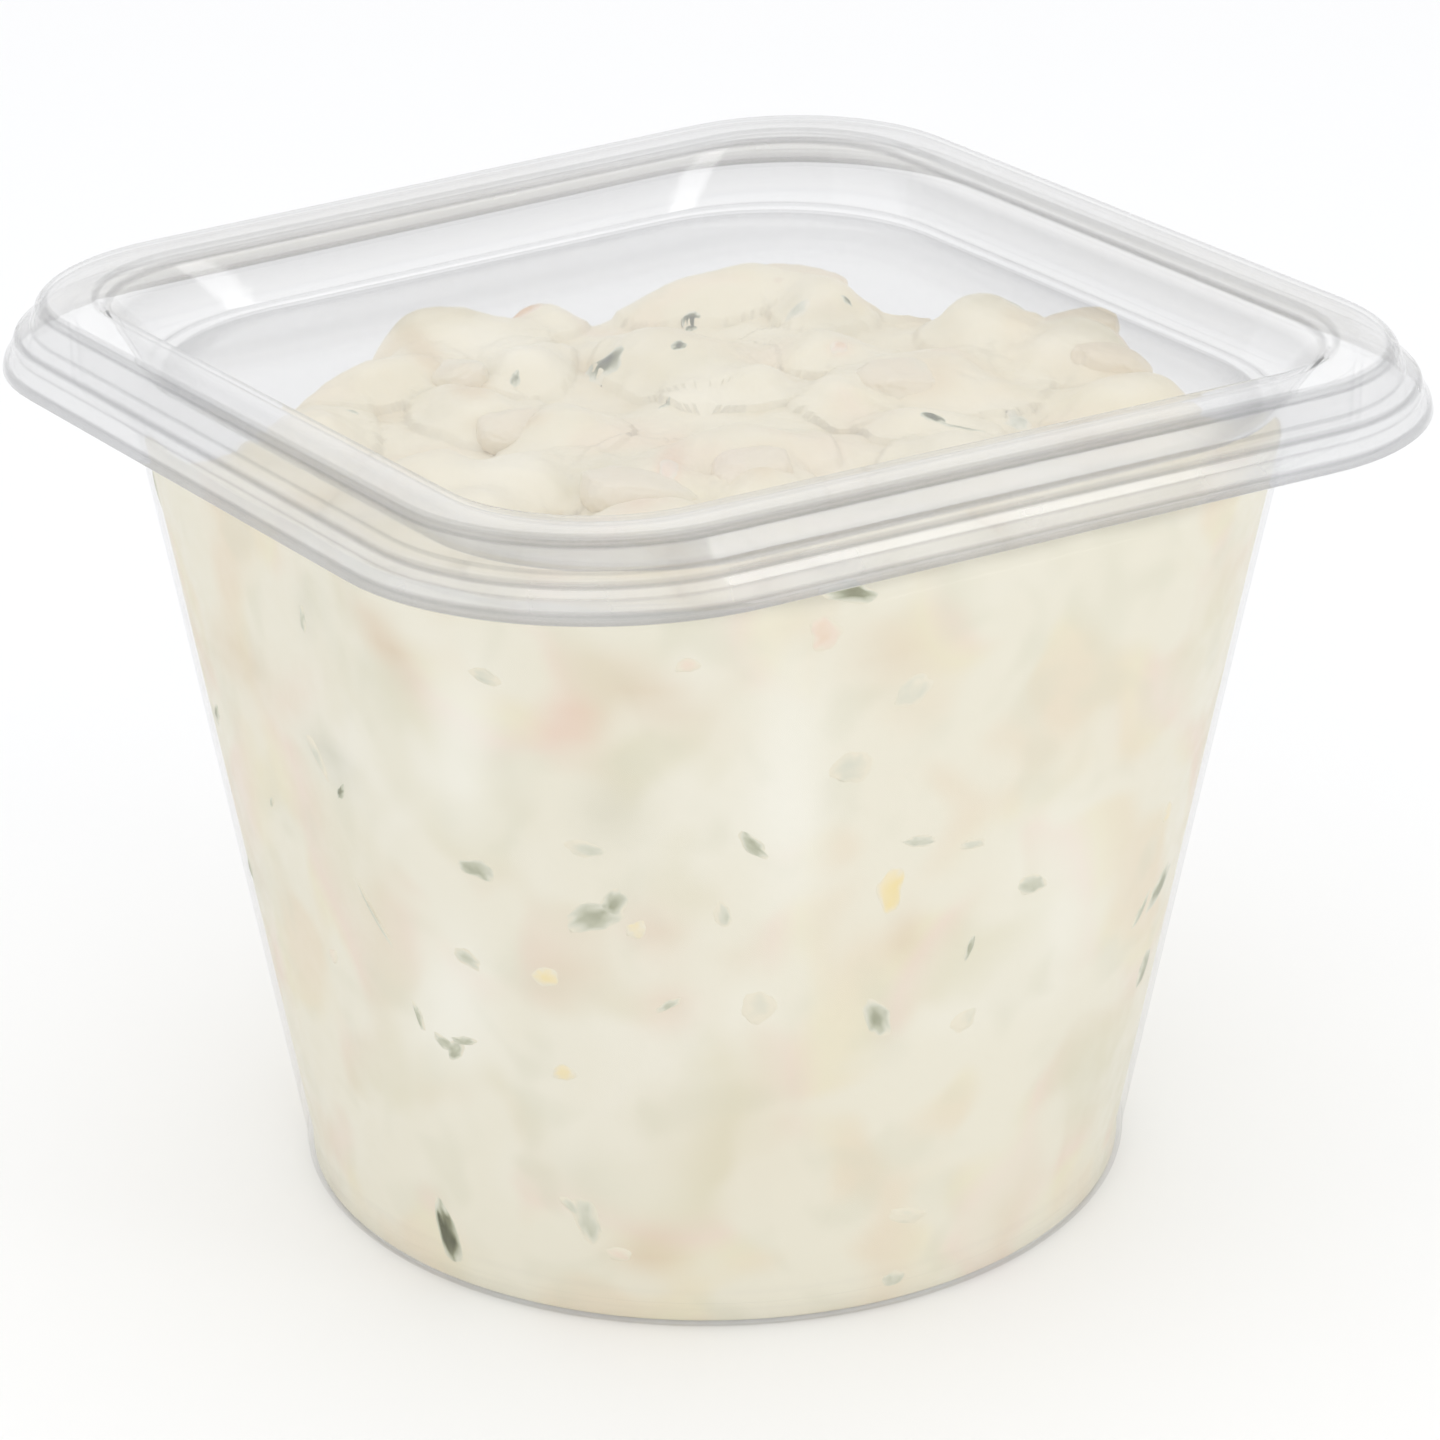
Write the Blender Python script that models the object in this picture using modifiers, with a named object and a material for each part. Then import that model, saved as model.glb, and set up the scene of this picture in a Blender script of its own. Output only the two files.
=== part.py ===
"""Potato salad in a clear deli tub with its press-on lid.

The tub is round at the foot and a rounded square at the mouth. The lid has a sunken panel, a raised
ring and a flared skirt that grips the tub's rim. The salad is one heap that fills the tub. Metres,
+Z up, the foot stands on z = 0 and the tub's flat sides face X and Y.
"""
import math
import random

import bmesh
import bpy
from mathutils import Euler, Vector, noise

MM = 0.001

# Plastic sheet and the gap between touching pieces
TUB_WALL = 0.8 * MM
LID_WALL = 0.6 * MM
GAP = 0.3 * MM

# Tub: inner face of the body, from a round foot to a rounded square below the rim
FOOT_RADIUS = 44.0 * MM
FOOT_INNER_RADIUS = 40.4 * MM
FOOT_RISE = 1.2 * MM
FOOT_BAND = 3.2 * MM
FOOT_ROUND_OFF = 0.3 * MM
BODY_HALF = 51.8 * MM
BODY_CORNER = 34.4 * MM
BODY_TOP = 84.0 * MM
MOUTH_HALF = 52.8 * MM
MOUTH_CORNER = 20.5 * MM
SHELF_RISE = 1.6 * MM
MOUTH_ROUND_OFF = 0.8 * MM
RIM_INSET = 0.45 * MM
RIM_DROP = 0.15 * MM
BEAD_DROP = 0.35 * MM
BODY_LEVELS = 4

# Lid: underside of the sheet
PANEL_HALF = 46.9 * MM
PANEL_CORNER = 22.0 * MM
PANEL_Z = 86.3 * MM
RING_INNER_HALF = 50.2 * MM
RING_OUTER_HALF = 55.0 * MM
RING_CORNER = 20.0 * MM
RING_Z = 93.7 * MM
CROWN_FOOT_HALF = 56.4 * MM
CROWN_FOOT_Z = 91.1 * MM
SKIRT_HALF = 59.7 * MM
SKIRT_CORNER = 26.7 * MM
SKIRT_Z = 88.0 * MM

# The thin lid sits a little twisted: two opposite corners stand higher than the other two
TWIST = 1.05 * MM
TWIST_FROM = 66.0 * MM
TWIST_FULL = 84.0 * MM

# Points round each ring, closer together at the corners
SIDES = 64
CORNER_CROWDING = 0.12

# Heap of salad: its own axes are turned to the tub's, U to the right and V to the back
HEAP_TURN = math.radians(33.1)
HEAP_CENTRE = Vector((4.0 * MM, -8.0 * MM))
HEAP_RADIUS = 50.0 * MM
HEAP_LEVEL = 81.2 * MM
HEAP_EDGE_LEVEL = 83.4 * MM
HEAP_FALL = 14.0 * MM
HEAP_SHOULDER_WIDTH = 4.0 * MM
HEAP_SLOPE_WIDTH = 13.0 * MM
HEAP_FALL_FROM = -6.0 * MM
HEAP_FALL_FULL = 14.0 * MM
HEAP_WAVES = 1.3 * MM
WAVE_LENGTH = 11.0 * MM
HEAP_LIMIT = PANEL_Z - GAP - 0.1 * MM
LID_EASE = 2.2 * MM
HEAP_RINGS = (0.95, 0.86, 0.76, 0.66, 0.56, 0.46, 0.35, 0.23, 0.11)
HUMPS = (  # U, V, height and width of the main humps, in millimetres
    (-24.0, 31.0, 1.4, 10.0),
    (8.0, 40.0, 2.4, 11.0),
    (36.0, 26.0, 1.6, 10.0),
    (4.0, -6.0, 1.4, 20.0),
)
OUTLINE_CHUNKS = (  # U, V and length of the pieces that make the heap's outline, in millimetres
    (-34.0, 14.0, 16.0),
    (-28.0, 28.0, 17.0),
    (-18.0, 35.0, 10.0),
    (2.0, 39.0, 18.0),
    (13.0, 35.0, 14.0),
    (30.0, 28.0, 15.0),
    (40.0, 19.0, 17.0),
    (43.0, 4.0, 15.0),
)
CHUNKS = 26
CHUNK_LENGTHS = (12.0 * MM, 19.0 * MM)
CHUNK_WIDTHS = (0.62, 0.85)  # to the length, as are the heights
CHUNK_HEIGHTS = (0.5, 0.72)
CHUNK_SINKS = (0.1, 0.3)  # to the height
OUTLINE_SINKS = (0.02, 0.22)
CHUNK_TILT = 0.35
CHUNK_ROUNDNESS = 0.72  # 1 is a ball and 0 a sharp block
CHUNK_SPACING = 10.5 * MM
CHUNK_REACH = 50.0 * MM
WALL_MARGIN = 7.0 * MM
PIECE_CLEARANCE = 1.2 * MM
FLECKS = 14
FLECK_LENGTHS = (3.0 * MM, 6.0 * MM)
FLECK_WIDTHS = (0.35, 0.6)
FLECK_THICKNESS = 1.1 * MM
FLECK_LIFT = 0.3 * MM
FLECK_TILT = 0.3
FLECK_ROUNDNESS = 0.85
FLECK_SPACING = 9.0 * MM
FLECK_REACH = 42.0 * MM
TRIES = 4000


def clear_scene():
    for found in list(bpy.data.objects):
        bpy.data.objects.remove(found, do_unlink=True)


def make_collection(name):
    made = bpy.data.collections.new(name)
    bpy.context.scene.collection.children.link(made)
    return made


def make_material(name, colour, roughness, transmission=0.0):
    made = bpy.data.materials.new(name)
    made.use_nodes = True
    shader = made.node_tree.nodes["Principled BSDF"]
    shader.inputs["Base Color"].default_value = (*colour, 1.0)
    shader.inputs["Roughness"].default_value = roughness
    shader.inputs["Metallic"].default_value = 0.0
    shader.inputs["Transmission Weight"].default_value = transmission
    return made


def smoothstep(low, high, value):
    t = min(1.0, max(0.0, (value - low) / (high - low)))
    return t * t * (3.0 - 2.0 * t)


def ray_to_rounded_square(angle, half, corner):
    """Distance from the middle to the outline of a rounded square, along a direction."""
    x, y = abs(math.cos(angle)), abs(math.sin(angle))
    flat = half - corner
    if min(x, y) / max(x, y) * half <= flat:
        return half / max(x, y)
    along = flat * (x + y)
    return along + math.sqrt(along * along - 2.0 * flat * flat + corner * corner)


def ring_angle(index):
    turn = 2.0 * math.pi * (index + 0.5) / SIDES
    return turn + CORNER_CROWDING * math.sin(4.0 * turn)


def ring(half, corner, height):
    """One ring of points; height is a number, or a function of the place."""
    points = []
    for index in range(SIDES):
        angle = ring_angle(index)
        reach = ray_to_rounded_square(angle, half, corner)
        x, y = reach * math.cos(angle), reach * math.sin(angle)
        z = height(x, y) if callable(height) else height
        points.append(Vector((x, y, z)))
    return points


def twisted(point):
    """The rim and lid twist together, so their gaps stay the same."""
    share = smoothstep(TWIST_FROM, TWIST_FULL, point.z)
    lift = TWIST * point.x * point.y / (CROWN_FOOT_HALF * CROWN_FOOT_HALF)
    return Vector((point.x, point.y, point.z + share * lift))


def loft(name, rings, first_middle, last_middle=None):
    """A skin through the rings, closed by a fan at the first and, if given, at the last."""
    shape = bmesh.new()
    rows = [[shape.verts.new(twisted(point)) for point in points] for points in rings]
    for lower, upper in zip(rows, rows[1:]):
        for a in range(SIDES):
            b = (a + 1) % SIDES
            shape.faces.new((lower[a], lower[b], upper[b], upper[a]))
    first = shape.verts.new(twisted(first_middle))
    for a in range(SIDES):
        shape.faces.new((rows[0][(a + 1) % SIDES], rows[0][a], first))
    if last_middle is not None:
        last = shape.verts.new(twisted(last_middle))
        for a in range(SIDES):
            shape.faces.new((rows[-1][a], rows[-1][(a + 1) % SIDES], last))
    mesh = bpy.data.meshes.new(name)
    shape.to_mesh(mesh)
    shape.free()
    mesh.shade_smooth()
    return bpy.data.objects.new(name, mesh)


def add_wall(part, thickness):
    """Thickens the sheet on the side away from the food."""
    wall = part.modifiers.new("wall", "SOLIDIFY")
    wall.thickness = thickness
    wall.offset = 1.0
    wall.use_even_offset = True
    wall.use_rim = True


def turn_over(part):
    """Turns the sheet's faces over, so that its wall grows upwards."""
    shape = bmesh.new()
    shape.from_mesh(part.data)
    bmesh.ops.reverse_faces(shape, faces=shape.faces)
    shape.to_mesh(part.data)
    shape.free()


def body_section(height):
    """Half width and corner radius of the tub's inner face between foot and rim."""
    share = (height - FOOT_BAND) / (BODY_TOP - FOOT_BAND)
    half = FOOT_RADIUS + share * (BODY_HALF - FOOT_RADIUS)
    corner = FOOT_RADIUS + share * (BODY_CORNER - FOOT_RADIUS)
    return half, corner


def tub_profile():
    """Inner face of the tub as (half width, corner radius, height), from the floor outwards."""
    floor = TUB_WALL + FOOT_RISE
    foot = TUB_WALL
    stations = [
        (FOOT_INNER_RADIUS - FOOT_RISE, FOOT_INNER_RADIUS - FOOT_RISE, floor),
        (FOOT_INNER_RADIUS, FOOT_INNER_RADIUS, foot),
        (FOOT_RADIUS - FOOT_ROUND_OFF, FOOT_RADIUS - FOOT_ROUND_OFF, foot),
        (FOOT_RADIUS, FOOT_RADIUS, foot + FOOT_ROUND_OFF),
    ]
    for step in range(BODY_LEVELS + 1):
        height = FOOT_BAND + (BODY_TOP - FOOT_BAND) * step / BODY_LEVELS
        stations.append((*body_section(height), height))
    shelf_z = BODY_TOP + SHELF_RISE
    bead_z = RING_Z - BEAD_DROP
    stations += [
        (MOUTH_HALF - 0.4 * MM, MOUTH_CORNER + 3.0 * MM, shelf_z),
        (MOUTH_HALF, MOUTH_CORNER, shelf_z + MOUTH_ROUND_OFF),
        (MOUTH_HALF, MOUTH_CORNER, bead_z - MOUTH_ROUND_OFF),
        (MOUTH_HALF + 0.5 * MM, MOUTH_CORNER, bead_z),
        (RING_OUTER_HALF - 0.4 * MM, RING_CORNER - 0.4 * MM, bead_z),
    ]
    for half, corner, height in lid_profile()[-6:-1]:
        stations.append((half - RIM_INSET, corner - RIM_INSET, height - RIM_DROP))
    return stations


def lid_profile():
    """Underside of the lid as (half width, corner radius, height), from the panel outwards."""
    step_half = CROWN_FOOT_HALF + 1.5 * MM
    return [
        (PANEL_HALF, PANEL_CORNER, PANEL_Z),
        (PANEL_HALF + 1.0 * MM, PANEL_CORNER - 0.5 * MM, PANEL_Z + 0.6 * MM),
        (RING_INNER_HALF - 0.9 * MM, RING_CORNER - 4.6 * MM, RING_Z - 0.7 * MM),
        (RING_INNER_HALF, RING_CORNER - 4.0 * MM, RING_Z),
        (RING_OUTER_HALF, RING_CORNER, RING_Z),
        (RING_OUTER_HALF + 0.45 * MM, RING_CORNER + 0.45 * MM, RING_Z - 0.45 * MM),
        (CROWN_FOOT_HALF, RING_CORNER + 1.6 * MM, CROWN_FOOT_Z),
        (step_half, RING_CORNER + 3.1 * MM, CROWN_FOOT_Z - 0.8 * MM),
        (step_half + 0.5 * MM, RING_CORNER + 4.0 * MM, CROWN_FOOT_Z - 1.9 * MM),
        (SKIRT_HALF, SKIRT_CORNER, SKIRT_Z),
        (SKIRT_HALF + 0.1 * MM, SKIRT_CORNER, SKIRT_Z - 0.6 * MM),
    ]


def make_tub():
    profile = tub_profile()
    rings = [ring(*station) for station in profile]
    tub = loft("tub", rings, Vector((0.0, 0.0, profile[0][2])))
    add_wall(tub, TUB_WALL)
    return tub


def make_lid():
    profile = lid_profile()
    rings = [ring(*station) for station in profile]
    lid = loft("lid", rings, Vector((0.0, 0.0, profile[0][2])))
    turn_over(lid)
    add_wall(lid, LID_WALL)
    return lid


def to_heap(x, y):
    c, s = math.cos(HEAP_TURN), math.sin(HEAP_TURN)
    return x * c - y * s, x * s + y * c


def from_heap(u, v):
    c, s = math.cos(HEAP_TURN), math.sin(HEAP_TURN)
    return u * c + v * s, -u * s + v * c


def heap_fall(u, v):
    away = (Vector((u, v)) - HEAP_CENTRE).length
    backward = smoothstep(HEAP_FALL_FROM, HEAP_FALL_FULL, v)
    outward = smoothstep(HEAP_RADIUS - HEAP_SHOULDER_WIDTH, HEAP_RADIUS + HEAP_SLOPE_WIDTH, away)
    return HEAP_FALL * backward * outward


def under_lid(height):
    """Eases heights off below the lid, so that tops stay round."""
    start = HEAP_LIMIT - LID_EASE
    if height <= start:
        return height
    return HEAP_LIMIT - LID_EASE * math.exp((start - height) / LID_EASE)


def heap_height(x, y):
    """Top of the dressed salad: level at the front, humped and then falling at the back."""
    u, v = to_heap(x, y)
    height = HEAP_LEVEL - heap_fall(u, v)
    for hump_u, hump_v, rise, width in HUMPS:
        far = math.hypot(u - hump_u * MM, v - hump_v * MM) / (width * MM)
        height += rise * MM * math.exp(-far * far)
    height += HEAP_WAVES * noise.noise(Vector((x / WAVE_LENGTH, y / WAVE_LENGTH, 3.1)))
    return under_lid(height)


def edge_height(x, y):
    """The dressing stands a little higher against the wall."""
    return HEAP_EDGE_LEVEL - heap_fall(*to_heap(x, y))


def make_core():
    """The dressed body of the salad, a gap inside the tub all round."""
    profile = tub_profile()[:4]
    rings = [ring(half - GAP, corner - GAP, height + GAP) for half, corner, height in profile]
    top_half, top_corner = body_section(HEAP_EDGE_LEVEL)
    rim = ring(top_half - GAP, top_corner - GAP, edge_height)
    for step in range(BODY_LEVELS + 1):
        share = step / BODY_LEVELS
        row = []
        for point in rim:
            height = FOOT_BAND + share * (point.z - FOOT_BAND)
            half, corner = body_section(height)
            angle = math.atan2(point.y, point.x)
            reach = ray_to_rounded_square(angle, half - GAP, corner - GAP)
            row.append(Vector((reach * math.cos(angle), reach * math.sin(angle), height)))
        rings.append(row)
    edge = rings[-1]
    for share in HEAP_RINGS:
        row = []
        for point in edge:
            x, y = point.x * share, point.y * share
            row.append(Vector((x, y, heap_height(x, y))))
        rings.append(row)
    middle = Vector((0.0, 0.0, heap_height(0.0, 0.0)))
    return loft("salad", rings, Vector((0.0, 0.0, profile[0][2] + GAP)), middle)


def kept_inside(point):
    """Pushes a point of a piece in from the wall and down from the lid."""
    height = under_lid(point.z)
    half, corner = body_section(min(height, BODY_TOP))
    angle = math.atan2(point.y, point.x)
    reach = ray_to_rounded_square(angle, half - PIECE_CLEARANCE, corner - PIECE_CLEARANCE)
    away = math.hypot(point.x, point.y)
    squeeze = min(1.0, reach / max(away, 1e-6))
    return Vector((point.x * squeeze, point.y * squeeze, height))


def make_piece(name, size, middle, turn, roundness, detail):
    """A rounded block: a ball drawn out to a box, with few sides."""
    shape = bmesh.new()
    bmesh.ops.create_icosphere(shape, subdivisions=detail, radius=1.0)
    spin = Euler(turn).to_matrix()
    for vert in shape.verts:
        place = Vector([math.copysign(abs(value) ** roundness, value) for value in vert.co])
        place = Vector([place[axis] * size[axis] * 0.5 for axis in range(3)])
        vert.co = twisted(kept_inside(spin @ place + middle))
    mesh = bpy.data.meshes.new(name)
    shape.to_mesh(mesh)
    shape.free()
    return bpy.data.objects.new(name, mesh)


def scatter(draw, count, spacing, reach, taken=()):
    """Random places on the heap, none closer to another or to a taken one than the spacing."""
    places = list(taken)
    for _ in range(TRIES):
        if len(places) == count + len(taken):
            break
        u = draw.uniform(-reach, reach)
        v = draw.uniform(-reach, reach)
        x, y = from_heap(u, v)
        half, corner = body_section(BODY_TOP)
        wall = ray_to_rounded_square(math.atan2(y, x), half, corner)
        if math.hypot(x, y) > wall - WALL_MARGIN:
            continue
        if all(math.hypot(x - a, y - b) >= spacing for a, b in places):
            places.append((x, y))
    return places


def any_turn(draw, tilt):
    return draw.uniform(-tilt, tilt), draw.uniform(-tilt, tilt), draw.uniform(0.0, math.tau)


def add_potato(pieces, draw):
    outline = [from_heap(u * MM, v * MM) for u, v, _ in OUTLINE_CHUNKS]
    places = scatter(draw, CHUNKS, CHUNK_SPACING, CHUNK_REACH, outline)
    for index, (x, y) in enumerate(places):
        if index < len(OUTLINE_CHUNKS):
            length = OUTLINE_CHUNKS[index][2] * MM
            sinks = OUTLINE_SINKS
        else:
            length = draw.uniform(*CHUNK_LENGTHS)
            sinks = CHUNK_SINKS
        size = (length, length * draw.uniform(*CHUNK_WIDTHS), length * draw.uniform(*CHUNK_HEIGHTS))
        sink = size[2] * draw.uniform(*sinks)
        middle = Vector((x, y, heap_height(x, y) - sink))
        turn = any_turn(draw, CHUNK_TILT)
        pieces.objects.link(make_piece(f"potato_{index}", size, middle, turn, CHUNK_ROUNDNESS, 2))


def add_flecks(pieces, draw):
    for index, (x, y) in enumerate(scatter(draw, FLECKS, FLECK_SPACING, FLECK_REACH)):
        length = draw.uniform(*FLECK_LENGTHS)
        size = (length, length * draw.uniform(*FLECK_WIDTHS), FLECK_THICKNESS)
        highest = HEAP_LIMIT - FLECK_THICKNESS / 2.0
        middle = Vector((x, y, min(heap_height(x, y) + FLECK_LIFT, highest)))
        turn = any_turn(draw, FLECK_TILT)
        pieces.objects.link(make_piece(f"fleck_{index}", size, middle, turn, FLECK_ROUNDNESS, 1))


def make_salad(into):
    salad = make_core()
    into.objects.link(salad)
    pieces = make_collection("salad pieces")
    draw = random.Random(24)
    add_potato(pieces, draw)
    add_flecks(pieces, draw)
    union = salad.modifiers.new("pieces", "BOOLEAN")
    union.operation = "UNION"
    union.solver = "EXACT"
    union.operand_type = "COLLECTION"
    union.collection = pieces
    bpy.context.view_layer.update()
    evaluated = salad.evaluated_get(bpy.context.evaluated_depsgraph_get())
    fused = bpy.data.meshes.new_from_object(evaluated)
    salad.modifiers.clear()
    salad.data = fused
    for piece in list(pieces.objects):
        bpy.data.objects.remove(piece, do_unlink=True)
    bpy.data.collections.remove(pieces)
    return salad


def main():
    clear_scene()
    parts = make_collection("potato salad tub")
    clear_plastic = (0.93, 0.95, 0.96)
    tub = make_tub()
    parts.objects.link(tub)
    tub.data.materials.append(make_material("tub_plastic", clear_plastic, 0.08, 1.0))
    lid = make_lid()
    parts.objects.link(lid)
    lid.data.materials.append(make_material("lid_plastic", clear_plastic, 0.1, 1.0))
    salad = make_salad(parts)
    salad.data.materials.clear()
    salad.data.materials.append(make_material("potato_salad", (0.80, 0.76, 0.62), 0.45))


main()
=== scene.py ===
"""Looks of a clear deli tub of potato salad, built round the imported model.

Tub and lid are fine clear sheets on the same outlines as the solids. The salad is a dressed heap with
potato pieces, herb leaves and coloured bits, one mesh for each kind. Metres, +Z up.
"""
import math
import random

import bmesh
import bpy
import numpy as np
from mathutils import Euler, Matrix, Vector, noise


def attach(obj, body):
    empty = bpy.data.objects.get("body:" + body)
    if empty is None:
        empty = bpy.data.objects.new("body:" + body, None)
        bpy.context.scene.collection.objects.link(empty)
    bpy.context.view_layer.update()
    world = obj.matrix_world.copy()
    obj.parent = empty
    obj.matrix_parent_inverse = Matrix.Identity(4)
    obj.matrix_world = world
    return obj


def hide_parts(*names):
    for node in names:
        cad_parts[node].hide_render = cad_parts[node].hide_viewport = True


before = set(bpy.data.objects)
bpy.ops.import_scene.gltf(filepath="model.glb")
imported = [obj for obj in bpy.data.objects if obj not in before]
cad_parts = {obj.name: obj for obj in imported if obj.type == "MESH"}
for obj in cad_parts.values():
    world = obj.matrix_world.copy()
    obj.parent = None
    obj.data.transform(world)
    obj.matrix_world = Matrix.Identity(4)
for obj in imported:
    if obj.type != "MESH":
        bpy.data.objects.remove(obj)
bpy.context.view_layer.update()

MM = 0.001

# Camera, fitted to the outlines of rim, flange, panel and foot in the photograph
CAMERA_YAW = math.radians(33.15)
CAMERA_ELEVATION = math.radians(24.786)
CAMERA_DISTANCE = 470.41 * MM
CAMERA_TARGET = Vector((0.0, 0.0, 33.6 * MM))
CAMERA_ROLL = -0.0149
CAMERA_PAN = 0.0025
CAMERA_TILT = 0.0281
CAMERA_LENS = 109.39
SENSOR_WIDTH = 36.0
PICTURE_SIDE = 1440.0
PICTURE_MIDDLE = PICTURE_SIDE / 2.0
FOCAL = CAMERA_LENS / SENSOR_WIDTH * PICTURE_SIDE

# The sheets are so thin that they hardly bend what is seen through them
SHEET_BEND = 1.012

# How the zones of the sheets look: the tone that the plastic gives, and the share of light that it scatters
# The tone is partly the plastic's own faint tint and partly painted shade: recess, crown and skirt are
# greyer.
GREY_TONE = 190
CLEAR_TONE = 254
PANEL_ZONE = (244, 0.01)
RECESS_ZONE = (206, 0.03)
RECESS_TOP = 91.5 * MM  # the recess wall is greyer below this height, as painted shade
RING_ZONE = (249, 0.1)
CROWN_ZONE = (232, 0.1)
SKIRT_ZONE = (232, 0.26)
WALL_ZONE = (244, 0.07)
RIM_ZONE = (254, 0.12)
TUB_FOLD_PAINTED_SHADE = 4  # how much a sharp fold lowers the tone, as a painted shade line
LID_FOLD_PAINTED_SHADE = 33
FOLD_TURN = math.radians(9.0)
FOLDS_ABOVE = 85.0 * MM
FOLD_SIDE = 0.15 * MM  # the points beside a fold are this near, so that its painted shade line stays narrow
SPAN_POINT = 0.7  # and one more is this far along the span
TUB_SEE_THROUGH = 0.85  # the share of the tub's sheet that is plainly see-through
TUB_EDGE_TONE = (242, 242, 243)  # where the sheet is seen edge on
LID_EDGE_TONE = (240, 240, 241)
TUB_GLOSS = 1.0
LID_GLOSS = 0.8

# Rays through pixels of the photograph are followed between these distances
RAY_FROM = 0.33
RAY_TO = 0.56
RAY_STEP = 0.25 * MM

# Plastic sheet
TUB_WALL = 0.8 * MM
LID_WALL = 0.6 * MM

# Tub: inner face of the body, from a round foot to a rounded square below the rim
FOOT_RADIUS = 44.0 * MM
FOOT_INNER_RADIUS = 40.4 * MM
FOOT_RISE = 1.2 * MM
FOOT_BAND = 3.2 * MM
FOOT_ROUND_OFF = 0.3 * MM
BODY_HALF = 51.8 * MM
BODY_CORNER = 34.4 * MM
BODY_TOP = 84.0 * MM
MOUTH_HALF = 52.8 * MM
MOUTH_CORNER = 20.5 * MM
SHELF_RISE = 1.6 * MM
MOUTH_ROUND_OFF = 0.8 * MM
RIM_INSET = 0.45 * MM
RIM_DROP = 0.15 * MM
BEAD_DROP = 0.35 * MM
BODY_LEVELS = 24

# Lid: underside of the sheet
PANEL_HALF = 46.9 * MM
PANEL_CORNER = 22.0 * MM
PANEL_Z = 86.3 * MM
RING_INNER_HALF = 50.2 * MM
RING_OUTER_HALF = 55.0 * MM
RING_CORNER = 20.0 * MM
RING_Z = 93.7 * MM
CROWN_FOOT_HALF = 56.4 * MM
CROWN_FOOT_Z = 91.1 * MM
SKIRT_HALF = 59.7 * MM
SKIRT_CORNER = 26.7 * MM
SKIRT_Z = 88.0 * MM
TWIST = 1.05 * MM
TWIST_FROM = 66.0 * MM
TWIST_FULL = 84.0 * MM

# Fineness of the sheets and of the salad's skin
SIDES = 192
CORNER_CROWDING = 0.12
FILLET = 0.55 * MM
FILLET_STEP = math.radians(14.0)
FILLET_SHARE = 0.45  # the most of a span that one fillet takes
LEAST_CUT = 0.01 * MM
KEPT_DISTANCE = 0.97  # points of the outer face that come nearer than this share of the wall are dropped
EDGE_BULGE = 0.3  # how far a sheet's edge is rounded out, to its thickness
PANEL_SHARES = (0.2, 0.4, 0.6, 0.8, 0.93)
FLOOR_SHARES = (0.3, 0.6, 0.9)
SKIN_SIDES = 480
SKIN_RINGS = 104
RING_CROWDING = 0.85
SKIN_LEVELS = 30
INTO_WALL = 0.15 * MM

# Heap of salad: its own axes are turned to the tub's, U to the right and V to the back
HEAP_TURN = math.radians(33.1)
HEAP_CENTRE = Vector((4.0 * MM, -8.0 * MM))
HEAP_RADIUS = 50.0 * MM
HEAP_LEVEL = 81.2 * MM
HEAP_EDGE_LEVEL = 83.4 * MM
HEAP_FALL = 14.0 * MM
HEAP_SHOULDER_WIDTH = 4.0 * MM
HEAP_SLOPE_WIDTH = 13.0 * MM
HEAP_FALL_FROM = -6.0 * MM
HEAP_FALL_FULL = 14.0 * MM
HEAP_WAVES = 1.3 * MM
WAVE_LENGTH = 11.0 * MM
EDGE_WAVES = 0.5 * MM
EDGE_WAVE_LENGTH = 8.0 * MM
SETTLED_AT = 0.93  # from this share of the way out, the top runs up to its edge at the wall
HEAP_LIMIT = PANEL_Z - 0.4 * MM
LID_EASE = 2.2 * MM
HUMPS = (  # U, V, height and width of the main humps, in millimetres
    (-24.0, 31.0, 1.4, 10.0),
    (8.0, 40.0, 2.4, 11.0),
    (36.0, 26.0, 1.6, 10.0),
    (4.0, -6.0, 1.4, 20.0),
)
OUTLINE_CHUNKS = (  # U, V and length of the pieces that make the heap's outline, in millimetres
    (-34.0, 14.0, 16.0),
    (-28.0, 28.0, 17.0),
    (-18.0, 35.0, 10.0),
    (2.0, 39.0, 18.0),
    (13.0, 35.0, 14.0),
    (30.0, 28.0, 15.0),
    (40.0, 19.0, 17.0),
    (43.0, 4.0, 15.0),
)
CHUNKS = 26
CHUNK_SEED = 24
CHUNK_LENGTHS = (12.0 * MM, 19.0 * MM)
CHUNK_WIDTHS = (0.62, 0.85)
CHUNK_HEIGHTS = (0.5, 0.72)
CHUNK_SINKS = (0.1, 0.3)
OUTLINE_SINKS = (0.02, 0.22)
CHUNK_TILT = 0.35
CHUNK_ROUNDNESS = 0.72
CHUNK_SPACING = 10.5 * MM
CHUNK_REACH = 50.0 * MM
WALL_MARGIN = 7.0 * MM
PIECE_CLEARANCE = 1.2 * MM
TRIES = 4000
LUMP_BLEND = 2.9 * MM  # how softly two dressed lumps run together
LUMP_SPREAD = 1.3  # the dressed lump over a potato piece, to the piece
LUMP_WARP = 2.4 * MM
LUMP_WARP_LENGTH = 11.0 * MM
LUMP_POWER = 1.3
LUMP_DROP = 0.6 * MM  # how far the dressing between two lumps lies below the heap
SKIN_RELIEF = (  # height and length of the bumps on the dressing, and where their noise starts
    (0.9 * MM, 7.5 * MM, (3.0, 8.0, 2.0)),
    (0.4 * MM, 3.6 * MM, (0.0, 0.0, 0.0)),
    (0.16 * MM, 1.7 * MM, (7.0, 1.0, 4.0)),
    (0.05 * MM, 0.8 * MM, (2.0, 5.0, 9.0)),
)
WARP_SEED = 3  # noise_vector draws by the clock unless it is given a seed
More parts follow.
